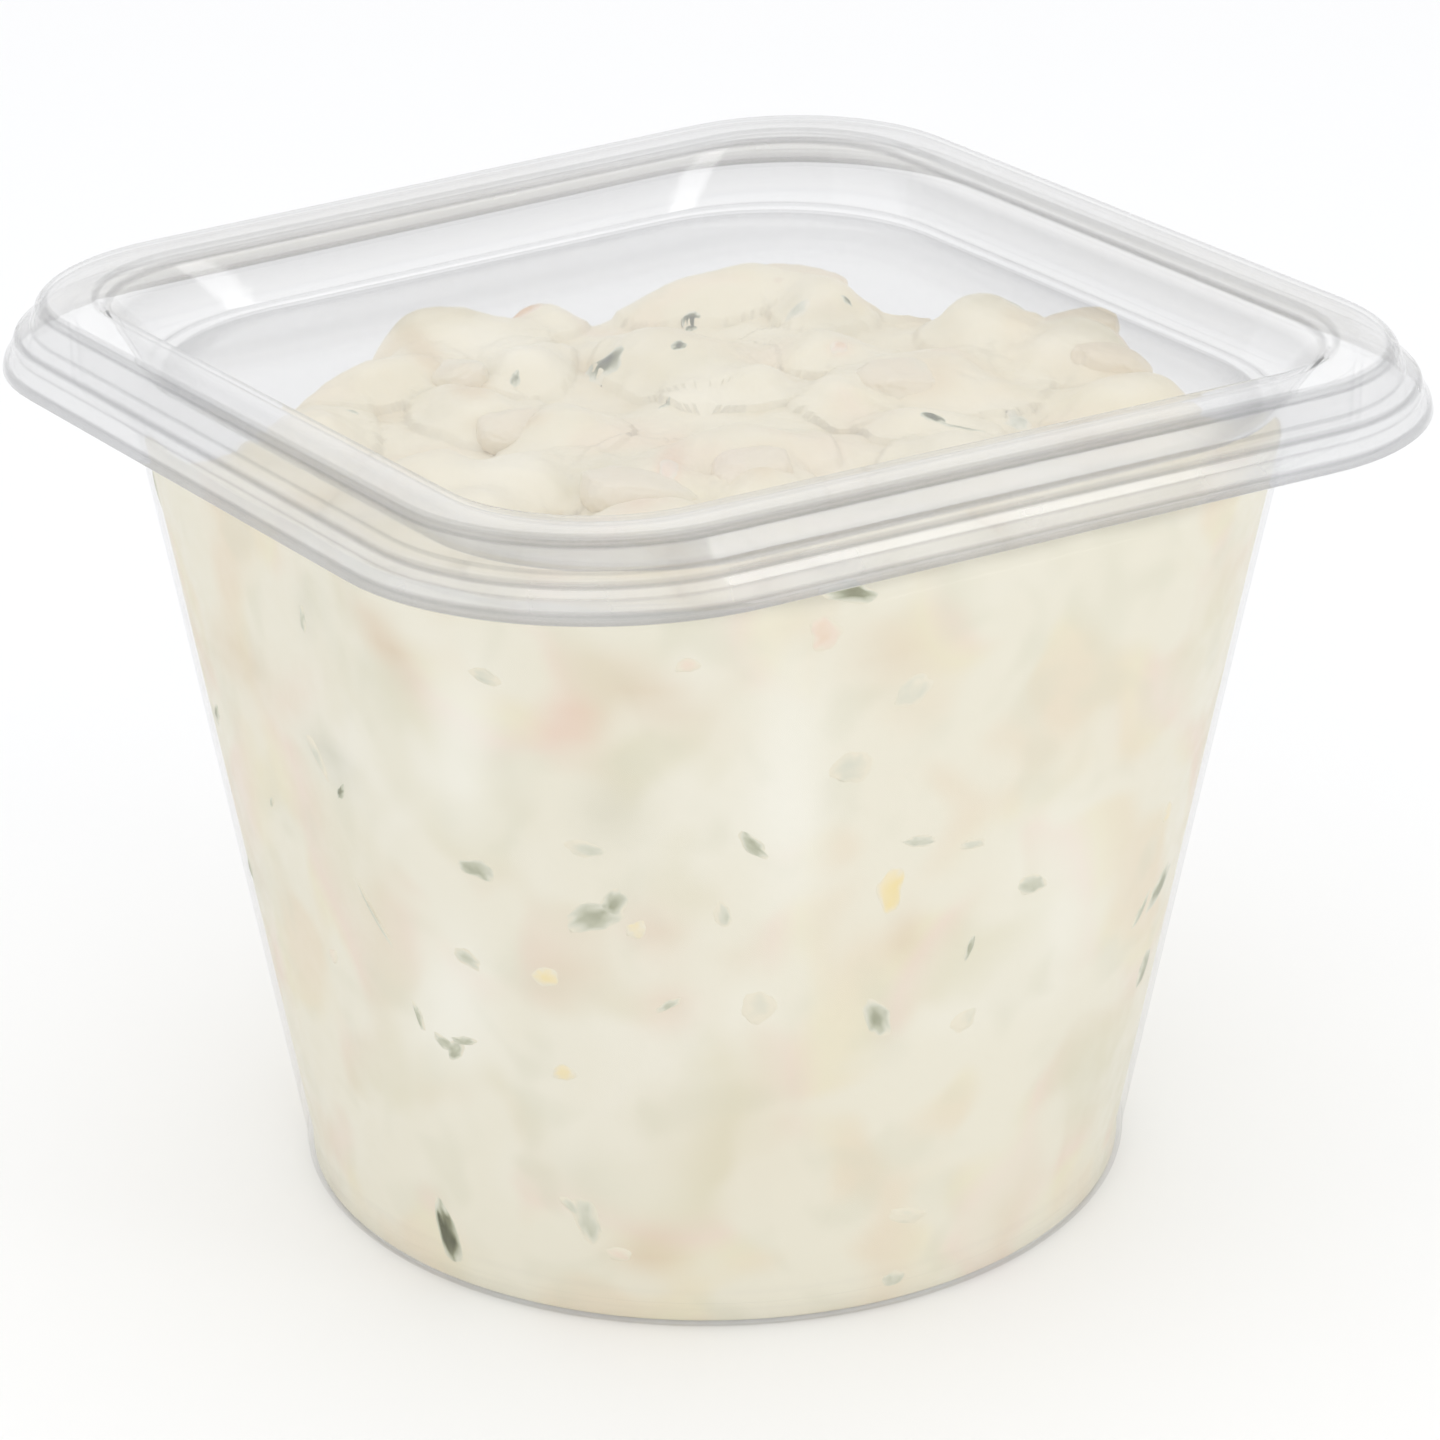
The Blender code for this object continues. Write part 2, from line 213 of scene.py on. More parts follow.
# Potato that comes out: pixel of its middle in the photograph, length, width and height in millimetres,
# turn and two tilts in degrees, and how many millimetres it comes out
SHOWN_POTATO = (
    (450, 372, 11.0, 6.5, 5.0, -55, 16, -14, 0.9),
    (641, 486, 12.0, 9.0, 6.0, 12, -10, 22, 1.3),
    (752, 462, 8.0, 7.0, 5.0, 0, 14, -12, 0.8),
    (1112, 352, 8.5, 6.5, 5.0, -30, -12, 18, 0.9),
    (905, 375, 11.0, 8.0, 5.0, 25, 10, 10, 1.0),
    (1075, 300, 10.0, 7.0, 5.0, 5, -8, -16, 0.6),
    (520, 425, 9.0, 6.0, 4.5, 14, 20, 6, 1.0),
    (800, 275, 11.0, 8.0, 5.5, -10, 8, 12, 0.4),
)
POTATO_BUMPS = (  # height and closeness of the bumps, and how far their noise moves on from piece to piece
    (0.1, 1.7, (3.7, 0.0, 0.0)),
    (0.03, 5.0, (0.0, 2.3, 0.0)),
)
DIP_STEP = 1.0 * MM
DIP_REACH = 6
DIP_FULL = 1.6 * MM  # a hollow this much below the heap around it has the deepest painted shade
TOP_TONES_FROM = (1.0, 4.0)  # the heap's own tones, and its painted shade and highlight, come in over these millimetres from the wall

# Herb that shows: pixel of its middle in the photograph, length and width in millimetres, turn in degrees
# from the picture's right, and how far the dressing veils it, from 0 to 1
SIDE_HERBS = (
    (477, 868, 3.3, 1.9, -8, 0.45),
    (594, 917, 4.6, 2.7, 15, 0.42),
    (614, 903, 3.0, 1.9, 65, 0.42),
    (343, 791, 1.9, 0.8, 50, 0.12),
    (485, 678, 2.8, 1.1, -10, 0.72),
    (586, 848, 2.9, 1.5, -5, 0.74),
    (468, 957, 2.6, 1.5, -20, 0.62),
    (374, 911, 6.0, 0.45, -48, 0.6),
    (320, 757, 4.4, 1.4, -50, 0.78),
    (304, 619, 2.6, 0.8, 85, 0.62),
    (274, 801, 1.2, 0.5, 70, 0.6),
    (420, 1016, 2.6, 0.8, -75, 0.5),
    (446, 1042, 2.4, 1.2, -25, 0.45),
    (457, 1049, 2.4, 1.5, 50, 0.4),
    (466, 1040, 2.6, 0.8, 12, 0.42),
    (449, 1232, 6.8, 2.1, -82, 0.0),
    (588, 1219, 4.8, 2.2, -80, 0.66),
    (573, 1205, 2.6, 1.2, -40, 0.76),
    (669, 1004, 2.3, 0.7, 32, 0.62),
    (723, 914, 2.4, 1.2, -75, 0.7),
    (752, 844, 3.4, 1.2, -50, 0.42),
    (851, 594, 5.0, 1.5, -17, 0.3),
    (852, 767, 3.4, 2.9, 10, 0.76),
    (914, 690, 3.4, 2.4, 20, 0.8),
    (920, 841, 2.9, 1.0, -12, 0.62),
    (971, 843, 2.5, 0.9, -5, 0.74),
    (1030, 884, 3.0, 1.7, -8, 0.52),
    (968, 947, 2.2, 0.7, 76, 0.4),
    (1157, 886, 5.2, 2.4, 30, 0.36),
    (1138, 911, 3.6, 0.9, 50, 0.5),
    (1141, 968, 3.6, 2.4, 70, 0.36),
    (876, 1017, 4.2, 2.0, -66, 0.46),
    (892, 1279, 2.1, 1.6, 20, 0.66),
    (905, 1214, 3.6, 1.5, -20, 0.84),
    (758, 1006, 2.6, 3.0, 0, 0.86),
    (962, 1020, 2.4, 2.0, 30, 0.86),
)
TOP_HERBS = (
    (605, 364, 3.4, 3.6, 20, 0.08),
    (691, 322, 2.0, 1.3, 65, 0.02),
    (679, 347, 1.8, 1.2, 70, 0.05),
    (515, 380, 1.4, 0.8, 80, 0.3),
    (664, 407, 1.2, 0.6, 20, 0.35),
    (353, 411, 1.0, 0.7, 0, 0.5),
    (847, 303, 1.0, 0.7, 30, 0.2),
    (933, 419, 2.3, 0.8, -8, 0.0),
    (962, 428, 4.6, 0.3, -20, 0.3),
    (1019, 423, 2.6, 2.0, -60, 0.62),
    (1018, 297, 2.6, 1.6, 10, 0.7),
    (798, 312, 2.4, 1.6, 0, 0.72),
)

# Yellow and orange bits and pink to peach ones, by the same columns
SIDE_YELLOW = (
    (890, 890, 4.0, 2.5, 82, 0.5),
    (565, 1072, 1.9, 1.6, 0, 0.62),
    (547, 976, 2.1, 1.8, 20, 0.6),
    (637, 928, 1.7, 1.4, 40, 0.7),
    (1165, 812, 1.8, 1.6, 0, 0.75),
)
SIDE_PEACH = (
    (824, 635, 3.0, 2.6, -80, 0.6),
    (688, 668, 1.8, 1.2, 0, 0.7),
    (620, 1253, 2.0, 1.4, 0, 0.75),
    (335, 955, 1.6, 1.2, 30, 0.75),
)
TOP_PEACH = (
    (520, 293, 4.4, 2.6, 0, 0.1),
    (840, 348, 1.8, 1.4, 60, 0.45),
    (1120, 362, 2.6, 1.8, 20, 0.3),
    (668, 470, 5.0, 1.6, 85, 0.55),
    (1128, 335, 3.0, 1.6, -40, 0.6),
)

# Soft zones in the salad: pixel of the middle in the photograph, length and width there in pixels, turn in
# degrees from the picture's right, and strength, for each tone
# The tall pale zones on the side are painted highlights: the lamps' reflections on the tub's wall.
SIDE_ZONES = {
    "pale_and_highlight": (
        (462, 740, 210, 90, 90, 0.9),
        (455, 1010, 190, 100, 90, 0.9),
        (790, 790, 330, 100, 90, 0.8),
        (1060, 880, 170, 120, 90, 0.7),
        (740, 1010, 110, 90, 0, 0.5),
        (420, 625, 120, 50, -30, 0.5),
    ),
    "tan": (
        (385, 640, 110, 36, -50, 0.8),
        (640, 690, 190, 70, -25, 0.7),
        (890, 655, 120, 90, 0, 0.5),
        (906, 940, 70, 50, 80, 0.6),
        (730, 1140, 300, 200, 0, 0.3),
        (650, 1252, 100, 50, 0, 0.8),
        (240, 660, 110, 50, -50, 0.6),
        (560, 975, 90, 60, 0, 0.4),
    ),
    "pink": (
        (572, 722, 80, 60, 0, 0.8),
        (650, 930, 90, 60, -20, 0.5),
        (668, 1008, 80, 60, 0, 0.5),
        (290, 700, 60, 90, -40, 0.4),
        (1130, 720, 60, 120, 0, 0.3),
    ),
    "grey": (
        (330, 757, 90, 34, -50, 0.9),
        (612, 812, 100, 90, 0, 0.6),
        (305, 610, 70, 24, -80, 0.6),
        (1090, 1080, 110, 130, 0, 0.4),
        (880, 1015, 110, 50, -80, 0.5),
        (240, 880, 60, 140, 75, 0.5),
        (590, 1180, 110, 60, -40, 0.4),
    ),
}
# On the heap the pale zones are painted highlight on the lumps, and the tan zones are partly potato tone and
# partly painted shade in creases.
TOP_ZONES = {
    "pale_and_highlight": (
        (500, 345, 110, 50, -20, 0.8),
        (505, 462, 100, 60, 0, 0.7),
        (700, 400, 120, 40, 0, 0.5),
        (1060, 345, 110, 50, 0, 0.6),
        (840, 470, 110, 40, 10, 0.4),
    ),
    "tan": (
        (424, 352, 76, 30, -48, 1.0),
        (470, 388, 46, 26, -8, 1.0),
        (513, 421, 84, 20, 6, 0.9),
        (762, 462, 44, 44, 0, 0.9),
        (930, 378, 90, 60, 20, 0.7),
        (1120, 362, 40, 32, 0, 1.0),
        (512, 296, 46, 24, 0, 1.0),
    ),
    "pink": (
        (668, 470, 70, 30, 72, 1.0),
        (640, 498, 60, 40, 30, 0.7),
        (840, 348, 30, 22, 0, 0.7),
    ),
    "grey": (
        (390, 322, 50, 22, 0, 0.8),
        (828, 318, 90, 40, -20, 0.7),
        (1130, 338, 60, 40, -40, 0.8),
        (985, 300, 80, 18, 12, 0.6),
        (1020, 424, 30, 34, 0, 0.8),
        (600, 470, 90, 60, 0, 0.4),
    ),
}
ZONE_TONES = (  # the most that each tone covers, and the tone
    # the pale tone is largely painted highlight, the tan tone partly painted shade
    ("pale_and_highlight", 0.85, (241, 239, 228)),
    ("tan", 0.9, (214, 194, 165)),
    ("pink", 0.8, (228, 192, 172)),
    ("grey", 0.75, (204, 202, 184)),
)
SIDE_ZONE_SHARE = 0.82
FLECK_SEED = 7
FLECK_GROWTH = 1.45
FLECK_THICKNESS = 0.7 * MM
FLECK_PROUD = 0.17 * MM
FLECK_RAGGED = 0.55
FLECK_TAPER = 0.45
FLECK_BEND = 0.5
FLECK_DETAIL = 3
HIDDEN_DETAIL = 2
CREEP = (0.35, 0.95)  # the dressing creeps over a fleck between these shares of the way out
CREEP_RAGGED = 0.35
CREEP_VEIL = 0.85
FLECK_SHADE = 0.18
HIDDEN_FROM = math.radians(-38.0)  # the sides that the photograph doesn't show run between these directions
HIDDEN_TO = math.radians(162.0)
HIDDEN_LOWEST = 7.0 * MM
HIDDEN_BELOW_EDGE = 5.0 * MM
HIDDEN_LENGTHS = (1.6, 4.2)
HIDDEN_WIDTHS = (0.25, 0.7)
HIDDEN_VEILS = (0.25, 0.8)

# Tones on screen, 0 to 255
DRESSING_TONE = (231, 226, 208)
POTATO_TONE = (226, 214, 190)
VEIL_TONE = (230, 223, 203)
FLESH_TONES = (
    (0.0, (228, 214, 190)),
    (0.35, (230, 222, 194)),
    (0.6, (230, 212, 195)),
    (1.0, (220, 214, 188)),
)
HERB_TONES = (
    (0.0, (60, 62, 36)),
    (0.3, (132, 133, 107)),
    (0.55, (187, 188, 166)),
    (0.8, (214, 213, 196)),
    (1.0, VEIL_TONE),
)
YELLOW_TONES = (
    (0.0, (228, 205, 110)),
    (0.4, (236, 216, 150)),
    (0.75, (236, 222, 184)),
    (1.0, VEIL_TONE),
)
PEACH_TONES = (
    (0.0, (222, 180, 140)),
    (0.4, (226, 200, 172)),
    (0.75, (232, 216, 198)),
    (1.0, VEIL_TONE),
)
FLECK_KINDS = (  # piece, look, rows on the side and on the heap, number on hidden sides, tones, roughness
    ("herb_leaves", "herb_look", SIDE_HERBS, TOP_HERBS, 46, HERB_TONES, 0.42),
    ("yellow_bits", "yellow_look", SIDE_YELLOW, (), 9, YELLOW_TONES, 0.4),
    ("peach_bits", "peach_look", SIDE_PEACH, TOP_PEACH, 9, PEACH_TONES, 0.4),
)
FLOOR_GREY = 0.93
SKY = (0.96, 0.965, 0.975, 1.0)
LIGHTS = (  # name, metres to the right of, beyond and above the tub's middle, size and power
    ("front", 0.0, -0.9, 0.42, (1.2, 0.5), 0.95),
    ("left", -0.9, -0.2, 0.7, (0.8, 0.8), 0.6),
    ("right", 0.9, -0.43, 0.36, (0.3, 0.34), 0.75),
    ("above", 0.0, 0.25, 1.1, (1.2, 1.2), 1.2),
)
LIT_POINT = Vector((0.0, 0.0, 0.05))


def tone(red, green, blue):
    """A screen colour, 0 to 255, as the linear colour that a shader takes."""
    linear = []
    for value in (red, green, blue):
        share = value / 255.0
        linear.append(share / 12.92 if share <= 0.04045 else ((share + 0.055) / 1.055) ** 2.4)
    return (*linear, 1.0)


def smoothstep(low, high, value):
    t = min(1.0, max(0.0, (value - low) / (high - low)))
    return t * t * (3.0 - 2.0 * t)


def smooth_max(a, b, width):
    share = max(width - abs(a - b), 0.0) / width
    return max(a, b) + share * share * width * 0.25


def reach_of(angle, half, corner):
    """Distance from the middle to the outline of a rounded square, along a direction."""
    x, y = abs(math.cos(angle)), abs(math.sin(angle))
    flat = half - corner
    if min(x, y) / max(x, y) * half <= flat:
        return half / max(x, y)
    along = flat * (x + y)
    return along + math.sqrt(max(0.0, along * along - 2.0 * flat * flat + corner * corner))


def ring_angle(index, sides):
    turn = 2.0 * math.pi * (index + 0.5) / sides
    return turn + CORNER_CROWDING * math.sin(4.0 * turn)


def twisted(point):
    """The rim and lid twist together: two opposite corners stand higher than the other two."""
    share = smoothstep(TWIST_FROM, TWIST_FULL, point.z)
    lift = TWIST * point.x * point.y / (CROWN_FOOT_HALF * CROWN_FOOT_HALF)
    return Vector((point.x, point.y, point.z + share * lift))


def ring(half, corner, height, sides):
    points = []
    for index in range(sides):
        angle = ring_angle(index, sides)
        reach = reach_of(angle, half, corner)
        points.append(Vector((reach * math.cos(angle), reach * math.sin(angle), height)))
    return points


def link(name, data):
    made = bpy.data.objects.new(name, data)
    bpy.context.scene.collection.objects.link(made)
    return made


def finish_shape(name, shape):
    bmesh.ops.recalc_face_normals(shape, faces=shape.faces)
    mesh = bpy.data.meshes.new(name)
    shape.to_mesh(mesh)
    shape.free()
    mesh.shade_smooth()
    return link(name, mesh)


def skin_over(name, rows, first_middle, last_middle):
    """A closed skin through rings of points, with a fan at each end."""
    shape = bmesh.new()
    made = [[shape.verts.new(twisted(point)) for point in row] for row in rows]
    sides = len(rows[0])
    for lower, upper in zip(made, made[1:]):
        for a in range(sides):
            b = (a + 1) % sides
            shape.faces.new((lower[a], lower[b], upper[b], upper[a]))
    for row, middle, flip in ((made[0], first_middle, True), (made[-1], last_middle, False)):
        centre = shape.verts.new(twisted(middle))
        for a in range(sides):
            b = (a + 1) % sides
            shape.faces.new((row[b], row[a], centre) if flip else (row[a], row[b], centre))
    return finish_shape(name, shape)


def body_section(height):
    """Half width and corner radius of the tub's inner face between foot and rim."""
    share = (height - FOOT_BAND) / (BODY_TOP - FOOT_BAND)
    half = FOOT_RADIUS + share * (BODY_HALF - FOOT_RADIUS)
    corner = FOOT_RADIUS + share * (BODY_CORNER - FOOT_RADIUS)
    return half, corner


def lid_profile():
    """Underside of the lid as (half width, corner radius, height), from the panel outwards."""
    step_half = CROWN_FOOT_HALF + 1.5 * MM
    return [
        (PANEL_HALF, PANEL_CORNER, PANEL_Z),
        (PANEL_HALF + 1.0 * MM, PANEL_CORNER - 0.5 * MM, PANEL_Z + 0.6 * MM),
        (RING_INNER_HALF - 0.9 * MM, RING_CORNER - 4.6 * MM, RING_Z - 0.7 * MM),
        (RING_INNER_HALF, RING_CORNER - 4.0 * MM, RING_Z),
        (RING_OUTER_HALF, RING_CORNER, RING_Z),
        (RING_OUTER_HALF + 0.45 * MM, RING_CORNER + 0.45 * MM, RING_Z - 0.45 * MM),
        (CROWN_FOOT_HALF, RING_CORNER + 1.6 * MM, CROWN_FOOT_Z),
        (step_half, RING_CORNER + 3.1 * MM, CROWN_FOOT_Z - 0.8 * MM),
        (step_half + 0.5 * MM, RING_CORNER + 4.0 * MM, CROWN_FOOT_Z - 1.9 * MM),
        (SKIRT_HALF, SKIRT_CORNER, SKIRT_Z),
        (SKIRT_HALF + 0.1 * MM, SKIRT_CORNER, SKIRT_Z - 0.6 * MM),
    ]


def tub_profile():
    """Inner face of the tub as (half width, corner radius, height), from the floor outwards."""
    floor = TUB_WALL + FOOT_RISE
    foot = TUB_WALL
    stations = [
        (FOOT_INNER_RADIUS - FOOT_RISE, FOOT_INNER_RADIUS - FOOT_RISE, floor),
        (FOOT_INNER_RADIUS, FOOT_INNER_RADIUS, foot),
        (FOOT_RADIUS - FOOT_ROUND_OFF, FOOT_RADIUS - FOOT_ROUND_OFF, foot),
        (FOOT_RADIUS, FOOT_RADIUS, foot + FOOT_ROUND_OFF),
    ]
    for step in range(BODY_LEVELS + 1):
        height = FOOT_BAND + (BODY_TOP - FOOT_BAND) * step / BODY_LEVELS
        stations.append((*body_section(height), height))
    shelf_z = BODY_TOP + SHELF_RISE
    bead_z = RING_Z - BEAD_DROP
    stations += [
        (MOUTH_HALF - 0.4 * MM, MOUTH_CORNER + 3.0 * MM, shelf_z),
        (MOUTH_HALF, MOUTH_CORNER, shelf_z + MOUTH_ROUND_OFF),
        (MOUTH_HALF, MOUTH_CORNER, bead_z - MOUTH_ROUND_OFF),
        (MOUTH_HALF + 0.5 * MM, MOUTH_CORNER, bead_z),
        (RING_OUTER_HALF - 0.4 * MM, RING_CORNER - 0.4 * MM, bead_z),
    ]
    for half, corner, height in lid_profile()[-6:-1]:
        stations.append((half - RIM_INSET, corner - RIM_INSET, height - RIM_DROP))
    return stations


def section(station):
    """A station's place in the profile's own plane: half width and height."""
    return Vector((station[0], station[2]))


def filleted(stations):
    """Rounds each corner of a profile."""
    stations = [Vector(station) for station in stations]
    dense = [stations[0]]
    for before, corner, after in zip(stations, stations[1:], stations[2:]):
        first = section(corner) - section(before)
        second = section(after) - section(corner)
        turn = abs(first.angle_signed(second))
        cut = min(FILLET * math.tan(turn / 2.0), FILLET_SHARE * min(first.length, second.length))
        if cut < LEAST_CUT:
            dense.append(corner)
            continue
        start = corner.lerp(before, cut / first.length)
        end = corner.lerp(after, cut / second.length)
        steps = max(1, math.ceil(turn / FILLET_STEP))
        for step in range(steps + 1):
            share = step / steps
            dense.append(start.lerp(corner, share).lerp(corner.lerp(end, share), share))
    dense.append(stations[-1])
    return dense


def divided(stations):
    """Adds a point near each end of the long spans of lid and rim, and one between."""
    dense = [stations[0]]
    for before, after in zip(stations, stations[1:]):
        span = (section(after) - section(before)).length
        if after.z > FOLDS_ABOVE and span > 4.0 * FOLD_SIDE:
            side = FOLD_SIDE / span
            dense += [before.lerp(after, share) for share in (side, SPAN_POINT, 1.0 - side)]
        dense.append(after)
    return dense


def nearest(point, line):
    """Distance from a point of the profile's plane to a line of stations."""
    best = 1.0
    for a, b in zip(line, line[1:]):
        along = section(b) - section(a)
        if along.length < 1e-9:
            continue
        share = (point - section(a)).dot(along) / along.length_squared
        best = min(best, (point - section(a) - along * min(1.0, max(0.0, share))).length)
    return best


def moved_out(stations, distance, side):
    """The same profile moved to one side; points that would fold over are dropped."""
    moved = []
    for index, station in enumerate(stations):
        before = section(stations[max(0, index - 1)])
        after = section(stations[min(len(stations) - 1, index + 1)])
        along = (after - before).normalized()
        out = Vector((along.y, -along.x)) * side
        place = section(station) + out * distance
        if nearest(place, stations) > KEPT_DISTANCE * distance:
            moved.append(Vector((place.x, station.y + out.x * distance, place.y)))
    return moved


def lid_zone(half, height):
    """Tone and haze of the lid at a place of its profile; its greyer tones are partly painted shade."""
    if half < PANEL_HALF + 1.4 * MM:
        return PANEL_ZONE
    if half < RING_INNER_HALF and height < RECESS_TOP:
        return RECESS_ZONE
    if half < RING_OUTER_HALF + 0.3 * MM:
        return RING_ZONE
    return CROWN_ZONE if height > CROWN_FOOT_Z - 0.4 * MM else SKIRT_ZONE


def tub_zone(half, height):
    return WALL_ZONE if height < BODY_TOP else RIM_ZONE


def section_step(row, after):
    """The way from one ring to the next in the profile's own plane."""
    return Vector((after[0].xy.length - row[0].xy.length, after[0].z - row[0].z))


def make_sheet(name, profile, thickness, side, zone, fold_painted_shade):
    """A closed clear sheet: its inner face, a rounded rim and its outer face."""
    inner = divided(filleted(profile))
    outer = moved_out(inner, thickness, side)
    rim = (inner[-1] + outer[-1]) / 2.0
    last = (inner[-1] - inner[-2]).normalized() * thickness * EDGE_BULGE
    stations = inner + [rim + last] + outer[::-1]
    rows = []
    for share in PANEL_SHARES:
        rows.append(ring(inner[0].x * share, inner[0].y * share, inner[0].z, SIDES))
    rows += [ring(*station, SIDES) for station in stations]
    for share in reversed(PANEL_SHARES):
        rows.append(ring(outer[0].x * share, outer[0].y * share, outer[0].z, SIDES))
    sheet = skin_over(name, rows, Vector((0, 0, inner[0].z)), Vector((0, 0, outer[0].z)))
    zones = []
    for before, row, after in zip(rows[:1] + rows, rows, rows[1:] + rows[-1:]):
        half = max(point.x for point in row)
        body, haze = zone(half, row[0].z)
        first, second = section_step(before, row), section_step(row, after)
        # painted shade line: the tone drops along each sharp fold
        if row[0].z > FOLDS_ABOVE and first.length > 0.0 and second.length > 0.0:
            turn = abs(first.angle_signed(second))
            body -= fold_painted_shade * min(1.0, turn / FOLD_TURN)
        zones += [(body, haze)] * SIDES
    zones += [zone(0.0, inner[0].z), zone(0.0, outer[0].z)]
    store(sheet, "clearness_and_painted_shade", [(body - GREY_TONE) / (CLEAR_TONE - GREY_TONE) for body, _ in zones])
    store(sheet, "haze", [haze for _, haze in zones])
    return sheet


def to_heap(x, y):
    c, s = math.cos(HEAP_TURN), math.sin(HEAP_TURN)
    return x * c - y * s, x * s + y * c


def from_heap(u, v):
    c, s = math.cos(HEAP_TURN), math.sin(HEAP_TURN)
    return u * c + v * s, -u * s + v * c


def heap_fall(u, v):
    away = (Vector((u, v)) - HEAP_CENTRE).length
    backward = smoothstep(HEAP_FALL_FROM, HEAP_FALL_FULL, v)
    outward = smoothstep(HEAP_RADIUS - HEAP_SHOULDER_WIDTH, HEAP_RADIUS + HEAP_SLOPE_WIDTH, away)
    return HEAP_FALL * backward * outward


def under_lid(height):
    """Eases heights off below the lid, so that tops stay round."""
    start = HEAP_LIMIT - LID_EASE
    if height <= start:
        return height
    return HEAP_LIMIT - LID_EASE * math.exp((start - height) / LID_EASE)


def heap_height(x, y):
    """Top of the dressed salad: level at the front, humped and then falling at the back."""
    u, v = to_heap(x, y)
    height = HEAP_LEVEL - heap_fall(u, v)
    for hump_u, hump_v, rise, width in HUMPS:
        far = math.hypot(u - hump_u * MM, v - hump_v * MM) / (width * MM)
        height += rise * MM * math.exp(-far * far)
    height += HEAP_WAVES * noise.noise(Vector((x / WAVE_LENGTH, y / WAVE_LENGTH, 3.1)))
    return under_lid(height)


def edge_height(x, y):
    """The dressing stands a little higher against the wall."""
    return HEAP_EDGE_LEVEL - heap_fall(*to_heap(x, y))


def scatter(draw, count, spacing, reach, taken=()):
    """Random places on the heap, none closer to another or to a taken one than the spacing."""
    places = list(taken)
    for _ in range(TRIES):
        if len(places) == count + len(taken):
            break
        u = draw.uniform(-reach, reach)
        v = draw.uniform(-reach, reach)
        x, y = from_heap(u, v)
        half, corner = body_section(BODY_TOP)
        wall = reach_of(math.atan2(y, x), half, corner)
        if math.hypot(x, y) > wall - WALL_MARGIN:
            continue
        if all(math.hypot(x - a, y - b) >= spacing for a, b in places):
            places.append((x, y))
    return places


def any_turn(draw, tilt):
    return draw.uniform(-tilt, tilt), draw.uniform(-tilt, tilt), draw.uniform(0.0, math.tau)


def plan_chunks(draw):
    """Size, middle and turn of each potato piece on the heap, as in the solid."""
    outline = [from_heap(u * MM, v * MM) for u, v, _ in OUTLINE_CHUNKS]
    places = scatter(draw, CHUNKS, CHUNK_SPACING, CHUNK_REACH, outline)
    chunks = []
    for index, (x, y) in enumerate(places):
        if index < len(OUTLINE_CHUNKS):
            length = OUTLINE_CHUNKS[index][2] * MM
            sinks = OUTLINE_SINKS
        else:
            length = draw.uniform(*CHUNK_LENGTHS)
            sinks = CHUNK_SINKS
        size = (length, length * draw.uniform(*CHUNK_WIDTHS), length * draw.uniform(*CHUNK_HEIGHTS))
        sink = size[2] * draw.uniform(*sinks)
        middle = Vector((x, y, heap_height(x, y) - sink))
        chunks.append((size, middle, Euler(any_turn(draw, CHUNK_TILT)).to_matrix()))
    return chunks


def kept_inside(point, clearance):
    """Pushes a point in from the wall and down from the lid."""
    height = under_lid(point.z)
    half, corner = body_section(min(height, BODY_TOP))
    reach = reach_of(math.atan2(point.y, point.x), half - clearance, corner - clearance)
    squeeze = min(1.0, reach / max(math.hypot(point.x, point.y), 1e-6))
    return Vector((point.x * squeeze, point.y * squeeze, height))


def lump_top(chunk, x, y, base):
    """Height of the dressed dome over a potato piece at a place, or None beside it."""
    size, middle, spin = chunk
    across = Vector((x - middle.x, y - middle.y, 0.0))
    if across.length > size[0] * 0.5 * LUMP_SPREAD:
        return None
    local = spin.transposed() @ across
    away = math.hypot(local.x / (size[0] * 0.5), local.y / (size[1] * 0.5)) / LUMP_SPREAD
    if away >= 1.0:
        return None
    up = spin @ Vector((0.0, 0.0, 1.0))
    crown = middle.z + size[2] * 0.5 - (across.x * up.x + across.y * up.y) / up.z
    share = math.cos(away * math.pi / 2.0) ** LUMP_POWER
    return base + share * (crown - base)


def skin_height(x, y, chunks):
    """The dressing's surface: soft lumps over the potato pieces, with creases between them."""
    place = Vector((x, y, 0.0))
    warp = noise.noise_vector(place / LUMP_WARP_LENGTH) * LUMP_WARP
    base = heap_height(x, y) - LUMP_DROP
    height = base
    for chunk in chunks:
        top = lump_top(chunk, x + warp.x, y + warp.y, base)
        if top is not None:
            height = smooth_max(height, top, LUMP_BLEND)
    for rise, length, start in SKIN_RELIEF:
        height += rise * noise.noise(place / length + Vector(start))
    return under_lid(height)


